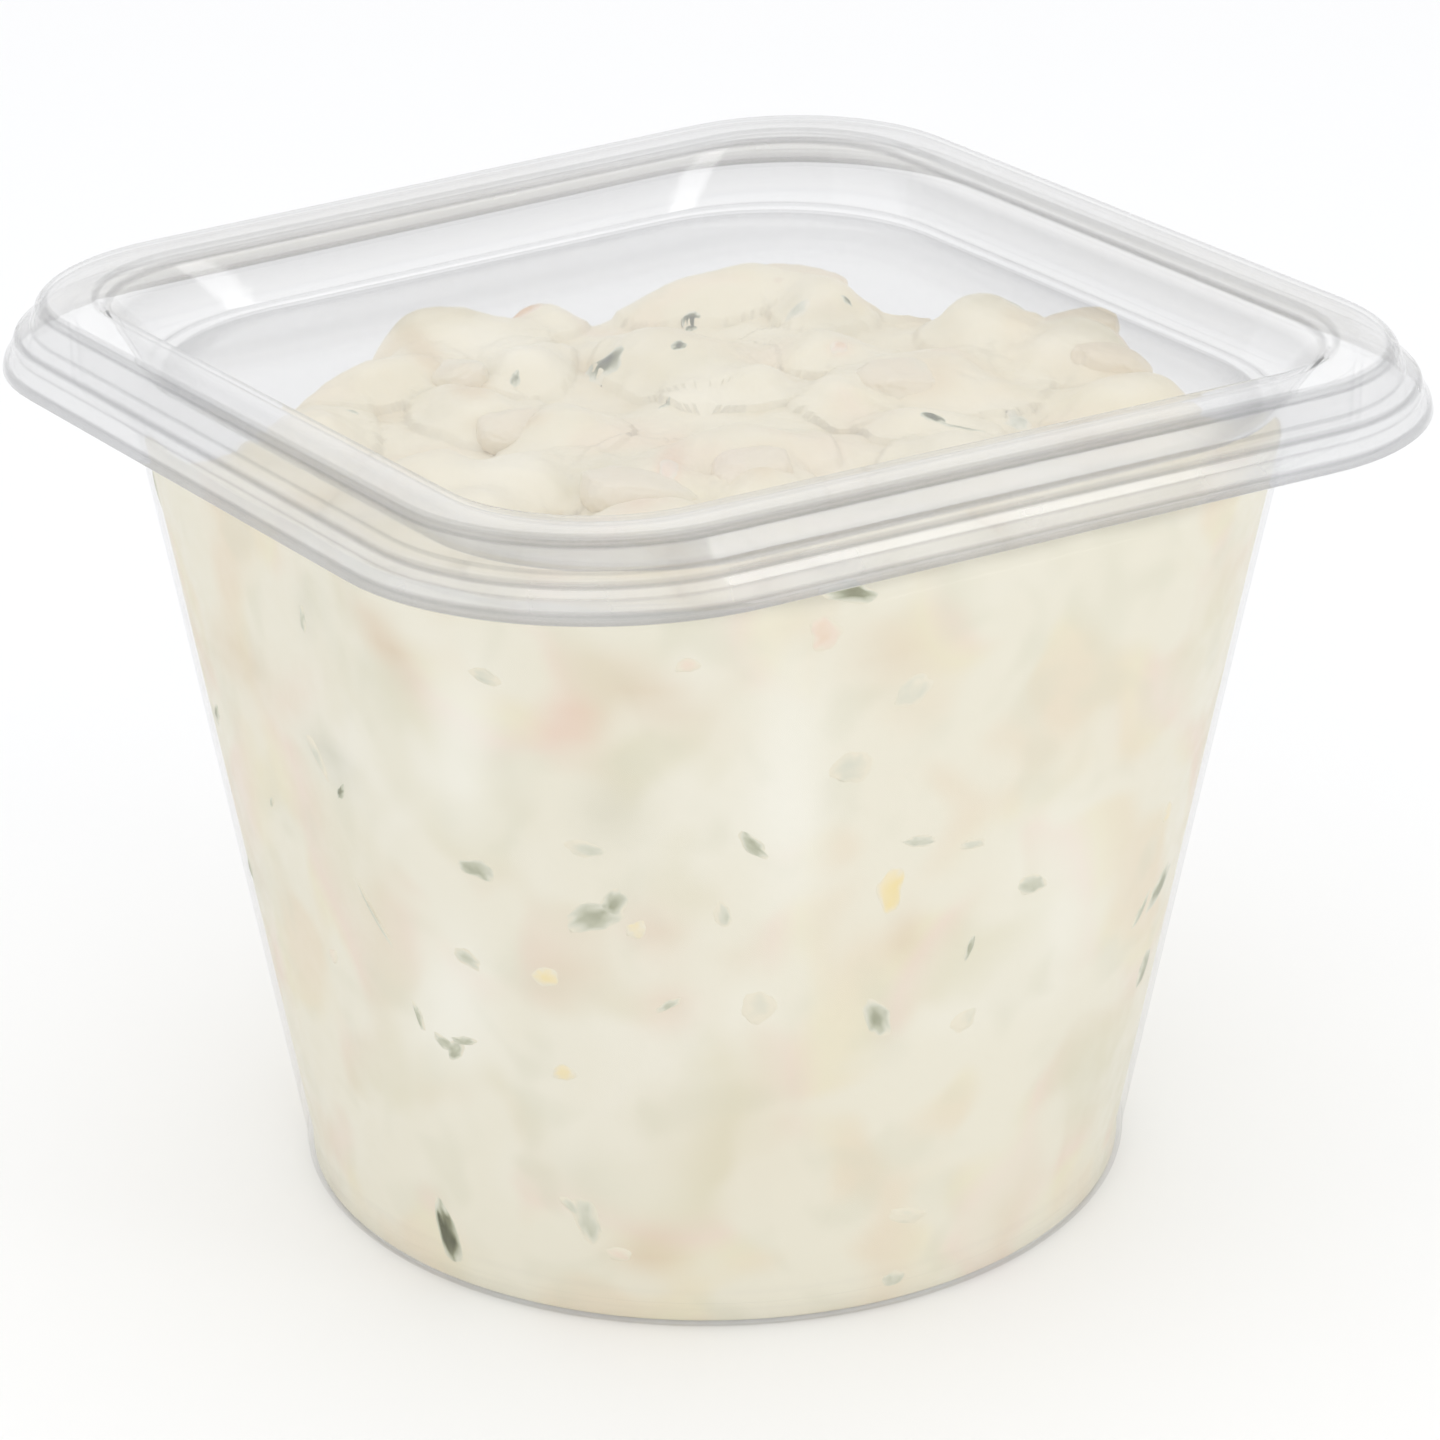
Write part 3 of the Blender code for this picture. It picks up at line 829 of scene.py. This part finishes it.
def add_hollow_shade_and_highlight(dressing, chunks):
    """Stores how far each point of the heap lies below the heap around it, from -1 to 1: painted shade in
    hollows, painted highlight on lumps.
    """
    cells = int(2.0 * BODY_HALF / DIP_STEP) + 1
    heights = np.zeros((cells, cells))
    for a in range(cells):
        for b in range(cells):
            heights[a, b] = skin_height(a * DIP_STEP - BODY_HALF, b * DIP_STEP - BODY_HALF, chunks)
    spread = np.exp(-np.linspace(-2.0, 2.0, 2 * DIP_REACH + 1) ** 2)
    spread /= spread.sum()
    around = np.pad(heights, DIP_REACH, mode="edge")
    around = np.apply_along_axis(np.convolve, 0, around, spread, "valid")
    around = np.apply_along_axis(np.convolve, 1, around, spread, "valid")
    shade_and_highlight = (around - heights) / DIP_FULL
    values, tops = [], []
    for vert in dressing.data.vertices:
        across = min(max((vert.co.x + BODY_HALF) / DIP_STEP, 0.0), cells - 1.001)
        along = min(max((vert.co.y + BODY_HALF) / DIP_STEP, 0.0), cells - 1.001)
        a, b = int(across), int(along)
        s, t = across - a, along - b
        near = shade_and_highlight[a, b] * (1.0 - s) + shade_and_highlight[a + 1, b] * s
        far = shade_and_highlight[a, b + 1] * (1.0 - s) + shade_and_highlight[a + 1, b + 1] * s
        inner = smoothstep(*TOP_TONES_FROM, (wall_reach(vert.co) - vert.co.xy.length) / MM)
        values.append(inner * min(1.0, max(-1.0, near * (1.0 - t) + far * t)))
        tops.append(inner)
    for name, numbers in (("hollow_shade_and_highlight", values), ("heap", tops)):
        store(dressing, name, numbers)


def store(piece, name, values):
    """Keeps one number for each point of a piece, for its material."""
    layer = piece.data.attributes.new(name, "FLOAT", "POINT")
    layer.data.foreach_set("value", values)


def add_zones(dressing):
    """Stores how strongly each soft zone tints each point that the camera sees; the pale zones are largely
    painted highlight, the tan ones on the heap partly painted shade.
    """
    eye, right, up, forward = camera_frame()
    points = np.array([vert.co for vert in dressing.data.vertices])
    from_eye = points - np.array(eye)
    deep = from_eye @ np.array(forward)
    across = PICTURE_MIDDLE + FOCAL * (from_eye @ np.array(right)) / deep
    down = PICTURE_MIDDLE - FOCAL * (from_eye @ np.array(up)) / deep
    on_top = np.empty(len(points))
    dressing.data.attributes["heap"].data.foreach_get("value", on_top)
    near_side = (points[:, :2] @ np.array(forward.xy) < 0.0) * (1.0 - on_top) * SIDE_ZONE_SHARE
    for kind in SIDE_ZONES:
        strength = np.zeros(len(points))
        for rows, share in ((SIDE_ZONES[kind], near_side), (TOP_ZONES[kind], on_top)):
            for x, y, length, width, turn, full in rows:
                c, s = math.cos(math.radians(turn)), math.sin(math.radians(turn))
                along = ((across - x) * c - (down - y) * s) / (length / 2.0)
                beside = ((across - x) * s + (down - y) * c) / (width / 2.0)
                strength = np.maximum(strength, share * full * np.exp(-(along ** 2 + beside ** 2)))
        store(dressing, kind, strength)


def wall_reach(point):
    half, corner = body_section(min(max(point.z, FOOT_BAND), BODY_TOP))
    return reach_of(math.atan2(point.y, point.x), half, corner)


def wall_point(angle, height, out=INTO_WALL):
    half, corner = body_section(height)
    reach = reach_of(angle, half + out, corner + out)
    return Vector((reach * math.cos(angle), reach * math.sin(angle), height))


def make_dressing(chunks):
    """The whole dressed body, just into the wall all round, with the heap's uneven top."""
    profile = tub_profile()[:4]
    rows = []
    for share in FLOOR_SHARES:
        rows.append(ring(profile[0][0] * share, profile[0][1] * share, profile[0][2], SKIN_SIDES))
    for half, corner, height in profile:
        rows.append(ring(half + INTO_WALL, corner + INTO_WALL, height - INTO_WALL, SKIN_SIDES))
    angles = [ring_angle(index, SKIN_SIDES) for index in range(SKIN_SIDES)]
    rims = []
    for angle in angles:
        place = wall_point(angle, HEAP_EDGE_LEVEL)
        rims.append(edge_height(place.x, place.y) + EDGE_WAVES * noise.noise(place / EDGE_WAVE_LENGTH))
    for level in range(SKIN_LEVELS + 1):
        share = level / SKIN_LEVELS
        row = []
        for angle, rim in zip(angles, rims):
            row.append(wall_point(angle, FOOT_BAND + share * (rim - FOOT_BAND)))
        rows.append(row)
    edge = rows[-1]
    for step in range(1, SKIN_RINGS):
        share = (1.0 - step / SKIN_RINGS) ** RING_CROWDING
        settle = smoothstep(1.0, SETTLED_AT, share)
        row = []
        for point in edge:
            x, y = point.x * share, point.y * share
            height = point.z + settle * (skin_height(x, y, chunks) - point.z)
            row.append(Vector((x, y, height)))
        rows.append(row)
    top = Vector((0.0, 0.0, skin_height(0.0, 0.0, chunks)))
    return skin_over("salad_dressing", rows, Vector((0.0, 0.0, profile[0][2] - INTO_WALL)), top)


def camera_frame():
    """Place and axes of the fitted camera: eye, right, up and forward."""
    back = Vector((0.0, -math.cos(CAMERA_ELEVATION), math.sin(CAMERA_ELEVATION)))
    forward = -back
    right = Vector((1.0, 0.0, 0.0))
    up = right.cross(forward)
    ct, st = math.cos(CAMERA_TILT), math.sin(CAMERA_TILT)
    forward, up = forward * ct + up * st, up * ct - forward * st
    cp, sp = math.cos(CAMERA_PAN), math.sin(CAMERA_PAN)
    forward, right = forward * cp + right * sp, right * cp - forward * sp
    cr, sr = math.cos(CAMERA_ROLL), math.sin(CAMERA_ROLL)
    right, up = right * cr + up * sr, up * cr - right * sr
    turn = Matrix.Rotation(-CAMERA_YAW, 3, "Z")
    eye = CAMERA_TARGET + turn @ back * CAMERA_DISTANCE
    return eye, turn @ right, turn @ up, turn @ forward


def ray_through(x, y):
    """The camera's eye and the direction through a pixel of the photograph."""
    eye, right, up, forward = camera_frame()
    across = (x - PICTURE_MIDDLE) / FOCAL
    rise = (PICTURE_MIDDLE - y) / FOCAL
    return eye, (forward + right * across + up * rise).normalized()


def side_hit(x, y):
    """Where the ray through a pixel first meets the salad behind the tub's wall."""
    eye, way = ray_through(x, y)
    near = RAY_FROM
    while near < RAY_TO:
        point = eye + way * near
        if 0.0 < point.z < BODY_TOP and point.xy.length < wall_reach(point):
            return point
        near += RAY_STEP
    raise ValueError(f"the ray through {x}, {y} misses the tub")


def top_hit(x, y, chunks):
    """Where the ray through a pixel meets the heap's top, or passes closest over it."""
    eye, way = ray_through(x, y)
    best, least = None, 1.0
    near = RAY_FROM
    while near < RAY_TO:
        point = eye + way * near
        near += RAY_STEP
        if point.z > PANEL_Z or point.xy.length > wall_reach(point) - 2.0 * MM:
            continue
        gap = point.z - skin_height(point.x, point.y, chunks)
        if gap < least:
            best, least = point, gap
        if gap <= 0.0:
            break
    return best


def make_potato(chunks):
    """The potato pieces that come out of the dressing: blocks with soft edges and uneven faces."""
    shape = bmesh.new()
    for index, row in enumerate(SHOWN_POTATO):
        x, y, length, width, height, turn, roll, pitch, shown = row
        point = top_hit(x, y, chunks)
        top = skin_height(point.x, point.y, chunks)
        middle = Vector((point.x, point.y, top + (shown - height / 2.0) * MM))
        turns = (math.radians(roll), math.radians(pitch), math.radians(turn) - CAMERA_YAW)
        spin = Euler(turns).to_matrix()
        made = bmesh.ops.create_icosphere(shape, subdivisions=5, radius=1.0)
        for vert in made["verts"]:
            place = Vector([math.copysign(abs(value) ** CHUNK_ROUNDNESS, value) for value in vert.co])
            bulge = 1.0
            for rise, closeness, move in POTATO_BUMPS:
                bulge += rise * noise.noise(vert.co * closeness + Vector(move) * index)
            place = Vector((place.x * length, place.y * width, place.z * height)) * 0.5 * bulge * MM
            vert.co = twisted(kept_inside(spin @ place + middle, PIECE_CLEARANCE))
    return finish_shape("potato_pieces", shape)


class WallPatch:
    """A small map laid on the tub's wall: right along the wall, up, and out."""

    def __init__(self, angle, height):
        self.angle, self.height = angle, height
        self.reach = wall_point(angle, height).xy.length

    def place(self, right, up, out):
        return twisted(wall_point(self.angle + right / self.reach, self.height + up, INTO_WALL + out))


class HeapPatch:
    """A small map laid on the heap's top: right and back as the camera sees them, and up."""

    def __init__(self, point, chunks):
        self.point, self.chunks = point, chunks

    def place(self, right, up, out):
        c, s = math.cos(CAMERA_YAW), math.sin(CAMERA_YAW)
        x = self.point.x + right * c + up * s
        y = self.point.y - right * s + up * c
        return twisted(Vector((x, y, skin_height(x, y, self.chunks) + out)))


def add_fleck(shape, veils, patch, length, width, turn, veil, seed, detail):
    """One thin uneven bit, drawn on a patch; the dressing creeps over its edge."""
    made = bmesh.ops.create_icosphere(shape, subdivisions=detail, radius=1.0)
    c, s = math.cos(turn), math.sin(turn)
    shift = Vector((seed * 5.3, seed * 2.9, 0.0))
    taper = FLECK_TAPER * noise.noise(Vector((seed * 1.3, 4.0, 0.0)))
    bend = FLECK_BEND * noise.noise(Vector((seed * 0.7, 9.0, 0.0)))
    for vert in made["verts"]:
        along, across, out = vert.co
        edge = math.hypot(along, across)
        ragged = FLECK_GROWTH + FLECK_RAGGED * noise.noise(Vector((along, across, 0.0)) * 1.6 + shift)
        a = along * ragged * length / 2.0
        b = across * ragged * (1.0 - taper * along) * width / 2.0 + bend * along * along * width / 2.0
        lift = (out - 1.0) * FLECK_THICKNESS / 2.0 + FLECK_PROUD
        place = patch.place(a * c - b * s, a * s + b * c, lift)
        edge += CREEP_RAGGED * noise.noise(Vector((along, across, 3.0)) * 3.0 + shift)
        creep = smoothstep(*CREEP, edge)
        shade = noise.noise(Vector((along * 1.1, across * 1.1, 6.0)) + shift)
        vert[veils] = min(1.0, veil + (1.0 - veil) * CREEP_VEIL * creep + FLECK_SHADE * shade)
        vert.co = place


def side_patch(x, y):
    hit = side_hit(x, y)
    return WallPatch(math.atan2(hit.y, hit.x), hit.z)


def make_flecks(name, sides, tops, hidden, chunks, draw):
    """Every fleck of one kind: those that the photograph shows, then more round the hidden sides."""
    shape = bmesh.new()
    veils = shape.verts.layers.float.new("veil")
    seed = 1.0
    for row, on_top in [(row, False) for row in sides] + [(row, True) for row in tops]:
        x, y, length, width, turn, veil = row
        patch = HeapPatch(top_hit(x, y, chunks), chunks) if on_top else side_patch(x, y)
        add_fleck(shape, veils, patch, length * MM, width * MM, math.radians(turn), veil, seed, FLECK_DETAIL)
        seed += 1.0
    for _ in range(hidden):
        angle = draw.uniform(HIDDEN_FROM, HIDDEN_TO)
        edge = edge_height(*wall_point(angle, HEAP_EDGE_LEVEL).xy)
        patch = WallPatch(angle, draw.uniform(HIDDEN_LOWEST, edge - HIDDEN_BELOW_EDGE))
        length = draw.uniform(*HIDDEN_LENGTHS) * MM
        width = length * draw.uniform(*HIDDEN_WIDTHS)
        turn, veil = draw.uniform(0.0, math.tau), draw.uniform(*HIDDEN_VEILS)
        add_fleck(shape, veils, patch, length, width, turn, veil, seed, HIDDEN_DETAIL)
        seed += 1.0
    return finish_shape(name, shape)


def make_camera():
    eye, right, up, forward = camera_frame()
    data = bpy.data.cameras.new("camera")
    data.lens = CAMERA_LENS
    data.sensor_width = SENSOR_WIDTH
    data.clip_start = 0.01
    camera = link("camera", data)
    place = Matrix((right, up, -forward)).transposed().to_4x4()
    place.translation = eye
    camera.matrix_world = place
    bpy.context.scene.camera = camera


class Look:
    """A material under way. A value put into it is another node's socket or a plain number or colour."""

    def __init__(self, name):
        self.material = bpy.data.materials.new(name)
        self.material.use_nodes = True
        self.nodes = self.material.node_tree.nodes
        self.shader = self.nodes["Principled BSDF"]

    def put(self, value, socket):
        if isinstance(value, bpy.types.NodeSocket):
            self.material.node_tree.links.new(value, socket)
        else:
            socket.default_value = value

    def give(self, key, value):
        self.put(value, self.shader.inputs[key])

    def add(self, kind, values=()):
        made = self.nodes.new("ShaderNode" + kind)
        for key, value in dict(values).items():
            self.put(value, made.inputs[key])
        return made

    def noise(self, where, scale, detail=2.0, rough=0.5, distort=0.0):
        values = {"Vector": where, "Scale": scale, "Detail": detail, "Roughness": rough}
        return self.add("TexNoise", {**values, "Distortion": distort}).outputs["Fac"]

    def stored(self, name):
        """The numbers that store() keeps on the piece."""
        made = self.add("Attribute")
        made.attribute_name = name
        return made.outputs["Fac"]

    def range(self, value, low, high, to_low=0.0, to_high=1.0):
        values = {"Value": value, "From Min": low, "From Max": high, "To Min": to_low, "To Max": to_high}
        made = self.add("MapRange", values)
        made.interpolation_type = "SMOOTHSTEP"
        return made.outputs["Result"]

    def mix(self, share, first, second):
        """Mixes two colours."""
        made = self.add("Mix")
        made.data_type = "RGBA"
        self.put(share, made.inputs["Factor"])
        for key, value in (("A", first), ("B", second)):
            self.put(value, [s for s in made.inputs if s.name == key and s.type == "RGBA"][0])
        return [s for s in made.outputs if s.type == "RGBA"][0]

    def math(self, operation, *values):
        made = self.add("Math", enumerate(values))
        made.operation = operation
        return made.outputs[0]

    def ramp(self, share, stops):
        """A colour ramp; each stop is its place and its tone."""
        made = self.add("ValToRGB", {"Fac": share})
        elements = made.color_ramp.elements
        while len(elements) < len(stops):
            elements.new(0.5)
        for element, (place, colour) in zip(elements, stops):
            element.position, element.color = place, tone(*colour)
        return made.outputs["Color"]

    def place(self, scale=(1.0, 1.0, 1.0)):
        where = self.add("TexCoord").outputs["Object"]
        return self.add("Mapping", {"Vector": where, "Scale": scale}).outputs["Vector"]

    def bump(self, height, strength, distance):
        values = {"Height": height, "Strength": strength, "Distance": distance}
        self.give("Normal", self.add("Bump", values).outputs["Normal"])


def plastic(name, edge_tone, gloss, see_through):
    """Clear thin plastic: nearly unbent sight through it, with the tone and haze of each zone; the tone
    holds painted shade along the folds and in the greyer zones.
    """
    look = Look(name)
    look.give("IOR", SHEET_BEND)
    look.give("Coat Weight", gloss)
    look.give("Coat Roughness", 0.06)
    look.give("Coat IOR", 1.5)
    turn = look.add("LayerWeight", {"Blend": 0.5}).outputs["Facing"]
    greyer, clearer = tone(GREY_TONE, GREY_TONE, GREY_TONE + 1), tone(CLEAR_TONE, CLEAR_TONE, CLEAR_TONE)
    colour = look.mix(look.stored("clearness_and_painted_shade"), greyer, clearer)
    colour = look.mix(look.range(turn, 0.7, 1.0), colour, tone(*edge_tone))
    look.give("Base Color", colour)
    place = look.place()
    clouds = look.noise(place, 55.0, 1.0)
    look.give("Roughness", look.range(clouds, 0.3, 0.7, 0.05, 0.14))
    streaks = look.noise(look.place((1.0, 1.0, 0.12)), 120.0, 0.0)
    scattered = look.math("MULTIPLY", look.stored("haze"), look.range(streaks, 0.3, 0.7, 0.9, 1.1))
    look.give("Transmission Weight", look.math("SUBTRACT", 1.0, scattered))
    look.bump(look.noise(place, 70.0, 0.0), 0.15, 0.3 * MM)
    if see_through:
        tint = look.add("Gamma", {"Color": colour, "Gamma": 0.5}).outputs["Color"]
        through = look.add("BsdfTransparent", {"Color": tint}).outputs[0]
        both = look.add("MixShader", {0: see_through, 1: look.shader.outputs[0], 2: through})
        look.put(both.outputs[0], look.nodes["Material Output"].inputs["Surface"])
    return look.material


def cream(name, dressing, rough, bump):
    """Dressed salad: white dressing with soft clouds where potato lies under it, each of its own tone, with
    painted shade in its hollows and painted highlight on its lumps.
    """
    look = Look(name)
    place = look.place()
    picks = look.noise(place, 40.0, 0.0)
    flesh = look.ramp(look.range(picks, 0.3, 0.7), FLESH_TONES)
    spots = look.noise(place, 90.0, 1.0, 0.4, 0.3)
    colour = look.mix(look.range(spots, 0.42, 0.62, 0.0, 0.75), tone(*dressing), flesh)
    broad = look.noise(place, 42.0, 2.0, 0.45, 0.3)
    cloud = look.noise(place, 130.0, 1.0, 0.55, 0.4)
    hollow_shade_and_highlight = look.stored("hollow_shade_and_highlight")
    layers = [  # what it goes by, from where to where, the most that it covers, and its tone
        (broad, 0.5, 0.75, 0.45, (237, 234, 222)),
        (cloud, 0.5, 0.25, 0.4, (216, 213, 192)),
        # painted shade in the hollows between lumps, and painted highlight on the lumps
        (hollow_shade_and_highlight, 0.05, 0.9, 0.8, (212, 196, 168)),
        (hollow_shade_and_highlight, -0.1, -0.8, 0.6, (240, 237, 222)),
    ]
    for kind, most, zone_tone in ZONE_TONES:
        layers.append((look.stored(kind), 0.0, 1.0, most, zone_tone))
    layers.append((look.stored("heap"), 0.0, 1.0, 0.4, (234, 220, 184)))
    for value, low, high, most, layer_tone in layers:
        colour = look.mix(look.range(value, low, high, 0.0, most), colour, tone(*layer_tone))
    look.give("Base Color", colour)
    fine = look.noise(place, 420.0, 1.0, 0.6)
    look.give("Roughness", look.range(fine, 0.3, 0.7, rough - 0.08, rough + 0.1))
    look.bump(fine, bump, 0.15 * MM)
    return look.material


def fleck_look(name, stops, rough):
    """Bits under a veil of dressing: the veil's share picks the tone."""
    look = Look(name)
    fine = look.noise(look.place(), 900.0, 3.0, 0.6)
    mottled = look.math("MULTIPLY_ADD", fine, 0.16, look.stored("veil"))
    look.give("Base Color", look.ramp(mottled, stops))
    look.give("Roughness", look.range(fine, 0.3, 0.7, rough - 0.06, rough + 0.1))
    look.bump(fine, 0.3, 0.12 * MM)
    return look.material


def plain_floor():
    mesh = bpy.data.meshes.new("floor")
    shape = bmesh.new()
    bmesh.ops.create_grid(shape, x_segments=2, y_segments=2, size=3.0)
    shape.to_mesh(mesh)
    shape.free()
    floor = link("floor", mesh)
    look = Look("floor")
    look.give("Base Color", (FLOOR_GREY, FLOOR_GREY, FLOOR_GREY, 1.0))
    look.give("Roughness", 0.6)
    floor.data.materials.append(look.material)


def add_light(name, place, size, power):
    data = bpy.data.lights.new(name, "AREA")
    data.shape = "RECTANGLE"
    data.size, data.size_y = size
    data.energy = power
    light = link(name, data)
    light.location = place
    light.rotation_euler = (LIT_POINT - place).to_track_quat("-Z", "Y").to_euler()


def light_scene():
    world = bpy.data.worlds.new("studio")
    bpy.context.scene.world = world
    world.use_nodes = True
    sky = world.node_tree.nodes["Background"]
    sky.inputs["Color"].default_value = SKY
    sky.inputs["Strength"].default_value = 1.0
    bpy.context.scene.view_settings.view_transform = "Standard"
    _, right, _, forward = camera_frame()
    ahead = Vector((forward.x, forward.y, 0.0)).normalized()
    side = Vector((right.x, right.y, 0.0)).normalized()
    for name, across, beyond, above, size, power in LIGHTS:
        place = LIT_POINT + side * across + ahead * beyond + Vector((0.0, 0.0, above))
        add_light(name, place, size, power)


def dress(piece, material):
    piece.data.materials.clear()
    piece.data.materials.append(material)
    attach(piece, "root")


def main():
    make_camera()
    tub = make_sheet("tub_sheet", tub_profile(), TUB_WALL, 1.0, tub_zone, TUB_FOLD_PAINTED_SHADE)
    tub_look = plastic("tub_plastic_look", TUB_EDGE_TONE, TUB_GLOSS, TUB_SEE_THROUGH)
    dress(tub, tub_look)
    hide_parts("tub")
    lid = make_sheet("lid_sheet", lid_profile(), LID_WALL, -1.0, lid_zone, LID_FOLD_PAINTED_SHADE)
    lid_look = plastic("lid_plastic_look", LID_EDGE_TONE, LID_GLOSS, 0.0)
    dress(lid, lid_look)
    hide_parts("lid")
    for sheet in (tub, lid):  # light reaches the salad as if the clear sheets weren't there
        sheet.visible_shadow = False
        sheet.visible_diffuse = False
    noise.seed_set(WARP_SEED)
    chunks = plan_chunks(random.Random(CHUNK_SEED))
    salad_look = cream("dressing_look", DRESSING_TONE, 0.42, 0.35)
    potato_look = cream("potato_look", POTATO_TONE, 0.36, 0.2)
    dressing = make_dressing(chunks)
    add_hollow_shade_and_highlight(dressing, chunks)
    add_zones(dressing)
    dress(dressing, salad_look)
    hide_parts("salad")
    dress(make_potato(chunks), potato_look)
    draw = random.Random(FLECK_SEED)
    for name, look, sides, tops, hidden, tones, rough in FLECK_KINDS:
        bits = make_flecks(name, sides, tops, hidden, chunks, draw)
        dress(bits, fleck_look(look, tones, rough))
    plain_floor()
    light_scene()


main()
